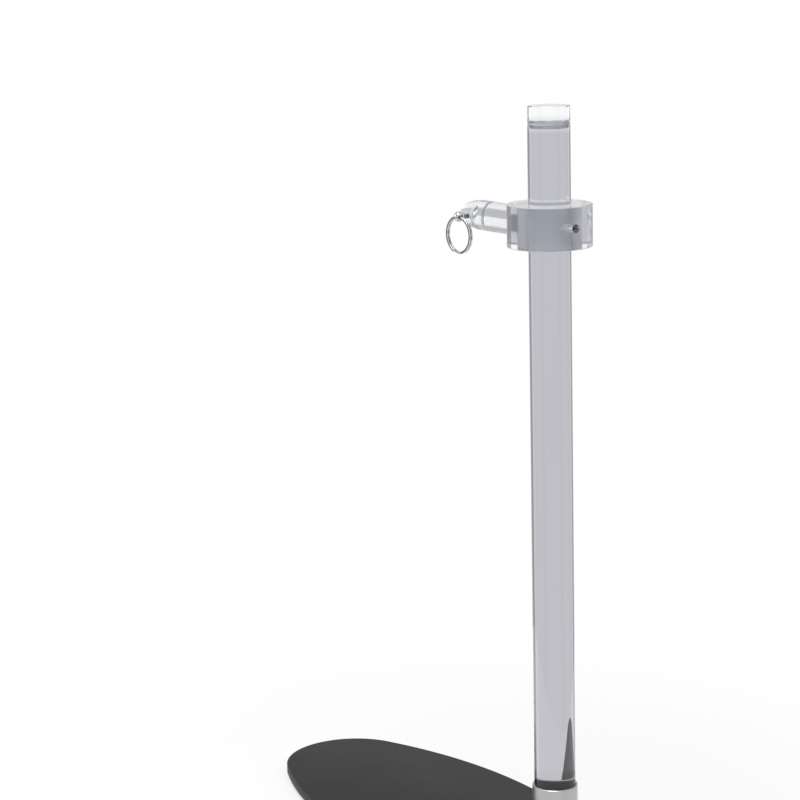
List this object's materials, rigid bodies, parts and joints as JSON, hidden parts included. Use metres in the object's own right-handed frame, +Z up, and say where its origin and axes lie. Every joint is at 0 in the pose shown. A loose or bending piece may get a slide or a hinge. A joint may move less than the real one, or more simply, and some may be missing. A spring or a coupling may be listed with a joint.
{
  "type": "saxophone stand",
  "caption": "Display stand with an oval base, a clear upright post and a sliding collar whose arm carries a hanging split ring that holds a saxophone by its strap ring.",
  "frame": {"origin": "on the floor, below the middle of the oval base", "axes": "+Z up, X along the length of the base with the post at +X and the arm pointing to -X, Y across the base"},
  "size_m": [0.366, 0.162, 0.5665],
  "materials": {
    "black_coat": "matte fine-grained black powder coat on steel plate",
    "foot_rubber": "matte black rubber",
    "zinc_steel": "bright zinc plate",
    "satin_aluminium": "satin anodised",
    "brass": "turned",
    "clear_acrylic": "polished clear acrylic",
    "plain_steel": "plain machined steel",
    "bright_steel": "bright nickel plate"
  },
  "bodies": {
    "base": {"base_plate": "black_coat", "foot_1": "foot_rubber", "foot_2": "foot_rubber", "foot_3": "foot_rubber", "foot_4": "foot_rubber", "foot_washers": "zinc_steel", "foot_screws": "zinc_steel", "sleeve": "satin_aluminium", "post_screw": "zinc_steel"},
    "post": {"post": "clear_acrylic", "post_cap": "clear_acrylic", "post_insert": "brass"},
    "collar": {"collar": "clear_acrylic", "arm": "clear_acrylic", "arm_nose": "clear_acrylic", "eye_stud": "bright_steel"},
    "grub_screw": {"collar_grub_screw": "plain_steel"},
    "ring": {"split_ring": "bright_steel"}
  },
  "joints": [
    {"name": "post_turn", "type": "hinge", "parent": "base", "child": "post", "pos_m": [0.151, 0, 0.0735], "axis": [0, 0, 1], "continuous": true},
    {"name": "collar_slide", "type": "slide", "parent": "post", "child": "collar", "axis": [0, 0, 1], "range_m": [-0.393, 0.068]},
    {"name": "grub_screw_turn", "type": "hinge", "parent": "collar", "child": "grub_screw", "pos_m": [0.171, 0, 0.4835], "axis": [1, 0, 0], "range_deg": [0, 360]},
    {"name": "ring_swing", "type": "hinge", "parent": "collar", "child": "ring", "pos_m": [0.0675, -0.0189, 0.4835], "axis": [1, 0, 0], "range_deg": [-215, 38]}
  ]
}
